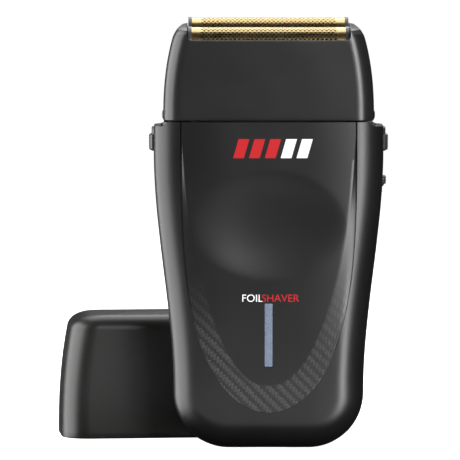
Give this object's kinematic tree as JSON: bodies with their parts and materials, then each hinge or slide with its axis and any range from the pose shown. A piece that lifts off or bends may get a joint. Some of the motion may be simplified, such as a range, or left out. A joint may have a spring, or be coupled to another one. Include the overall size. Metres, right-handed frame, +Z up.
{
  "type": "foil shaver",
  "caption": "Pocket-sized cordless foil shaver with a lift-off head of floating foils over oscillating cutters, side keys, a charge window and a travel cap.",
  "frame": {"origin": "centre of the handle's flat base", "axes": "+Z up through the head, the front of the shaver faces -Y, +X to its right as the front is seen"},
  "size_m": [0.1098, 0.069, 0.1407],
  "materials": {
    "body_plastic": "satin black moulded shell with fine spark texture",
    "head_plastic": "satin black moulding, spark-textured ear tops",
    "cap_plastic": "satin black moulding with fine handling scuffs",
    "key_plastic": "satin black, ribbed",
    "lens_plastic": "translucent smoke-blue light pipe",
    "foil_gold": "gold-coloured coated steel foil, polished ends and pierced middle",
    "end_plate_grey": "grey moulded end plates and rails",
    "cutter_steel": "ground stainless blades",
    "carrier_plastic": "glass-filled carrier moulding",
    "chassis_plastic": "black structural moulding",
    "bridge_plastic": "natural acetal, low friction",
    "screw_steel": "blackened screw steel",
    "spring_steel": "drawn spring wire",
    "shaft_steel": "ground steel",
    "can_steel": "zinc-plated drawn steel",
    "magnet_ferrite": "sintered ferrite",
    "core_steel": "stacked laminations",
    "copper": "enamelled copper",
    "bush_bronze": "sintered bronze",
    "contact_brass": "stamped contact strip",
    "board_laminate": "green solder mask over glass laminate",
    "chip_black": "moulded chip packages",
    "led_white": "clear epoxy lamp",
    "cell_sleeve": "shrink sleeve over a steel can",
    "nickel_tab": "spot-welded nickel strip",
    "seal_rubber": "moulded seal",
    "socket_plastic": "black socket moulding",
    "lead_insulation": "stranded wire with soft insulation"
  },
  "bodies": {
    "handle": {"front_housing": "body_plastic", "rear_housing": "body_plastic", "housing_screws": "screw_steel", "indicator_lens": "lens_plastic", "circuit_board": "board_laminate", "board_screws": "screw_steel", "board_chips": "chip_black", "indicator_leds": "led_white", "battery_cell": "cell_sleeve", "battery_tabs": "nickel_tab", "charge_socket": "socket_plastic", "charge_socket_pin": "contact_brass", "motor_can": "can_steel", "motor_end_bell": "chassis_plastic", "motor_terminals": "contact_brass", "motor_front_bush": "bush_bronze", "motor_rear_bush": "bush_bronze", "field_magnets": "magnet_ferrite", "motor_screws": "screw_steel", "motor_frame": "chassis_plastic", "motor_frame_screws": "screw_steel", "top_deck": "chassis_plastic", "deck_screws": "screw_steel", "deck_gasket": "seal_rubber", "guide_rods": "shaft_steel", "slide_switch": "chip_black", "motor_leads": "lead_insulation", "battery_leads": "lead_insulation", "switch_leads": "lead_insulation"},
    "rotor": {"motor_shaft": "shaft_steel", "armature_core": "core_steel", "armature_windings": "copper", "commutator": "copper", "eccentric_hub": "bush_bronze", "eccentric_pin": "shaft_steel"},
    "oscillator": {"oscillator_bridge": "bridge_plastic", "drive_posts": "shaft_steel", "cutter_spring_front": "spring_steel", "cutter_spring_rear": "spring_steel"},
    "cutter_front": {"cutter_blades_front": "cutter_steel", "cutter_carrier_front": "carrier_plastic"},
    "cutter_rear": {"cutter_blades_rear": "cutter_steel", "cutter_carrier_rear": "carrier_plastic"},
    "head": {"head_shell": "head_plastic", "foil_retainers": "chassis_plastic", "retainer_screws": "screw_steel", "foil_springs_front": "spring_steel", "foil_springs_rear": "spring_steel"},
    "foil_front": {"foil_sheet_front": "foil_gold", "foil_frame_front": "end_plate_grey"},
    "foil_rear": {"foil_sheet_rear": "foil_gold", "foil_frame_rear": "end_plate_grey"},
    "release_left": {"release_button_left": "key_plastic", "release_spring_left": "spring_steel"},
    "release_right": {"release_button_right": "key_plastic", "release_spring_right": "spring_steel"},
    "power_slider": {"power_slider": "key_plastic", "switch_actuator": "chip_black"},
    "cap": {"travel_cap": "cap_plastic"}
  },
  "joints": [
    {"name": "head_lift", "type": "slide", "parent": "handle", "child": "head", "axis": [0, 0, 1], "range_m": [0, 0.045]},
    {"name": "foil_front_float", "type": "slide", "parent": "head", "child": "foil_front", "axis": [0, 0, 1], "range_m": [-0.0015, 0], "stiffness_N_per_m": 600, "springref_m": 0.001, "deforming": ["foil_springs_front"]},
    {"name": "foil_rear_float", "type": "slide", "parent": "head", "child": "foil_rear", "axis": [0, 0, 1], "range_m": [-0.0015, 0], "stiffness_N_per_m": 600, "springref_m": 0.001, "deforming": ["foil_springs_rear"]},
    {"name": "bridge_slide", "type": "slide", "parent": "handle", "child": "oscillator", "axis": [1, 0, 0], "range_m": [-0.0012, 0.0012]},
    {"name": "cutter_front_float", "type": "slide", "parent": "oscillator", "child": "cutter_front", "axis": [0, 0, 1], "range_m": [-0.0015, 0], "stiffness_N_per_m": 300, "springref_m": 0.001, "deforming": ["cutter_spring_front"]},
    {"name": "cutter_rear_float", "type": "slide", "parent": "oscillator", "child": "cutter_rear", "axis": [0, 0, 1], "range_m": [-0.0015, 0], "stiffness_N_per_m": 300, "springref_m": 0.001, "deforming": ["cutter_spring_rear"]},
    {"name": "rotor_spin", "type": "hinge", "parent": "handle", "child": "rotor", "pos_m": [0, 0, 0.08], "axis": [0, 0, 1], "continuous": true},
    {"name": "release_left_press", "type": "slide", "parent": "handle", "child": "release_left", "axis": [1, 0, 0], "range_m": [0, 0.0015], "stiffness_N_per_m": 800, "springref_m": -0.001},
    {"name": "release_right_press", "type": "slide", "parent": "handle", "child": "release_right", "axis": [-1, 0, 0], "range_m": [0, 0.0015], "stiffness_N_per_m": 800, "springref_m": -0.001},
    {"name": "power_slide", "type": "slide", "parent": "handle", "child": "power_slider", "axis": [0, 0, 1], "range_m": [0, 0.003]},
    {"name": "cap_lift", "type": "slide", "parent": "handle", "child": "cap", "axis": [0, 0, 1], "range_m": [0, 0.15]}
  ],
  "couplings": [
    {"joint": "cutter_front_float", "follows": "foil_front_float", "ratio": 1},
    {"joint": "cutter_rear_float", "follows": "foil_rear_float", "ratio": 1}
  ]
}
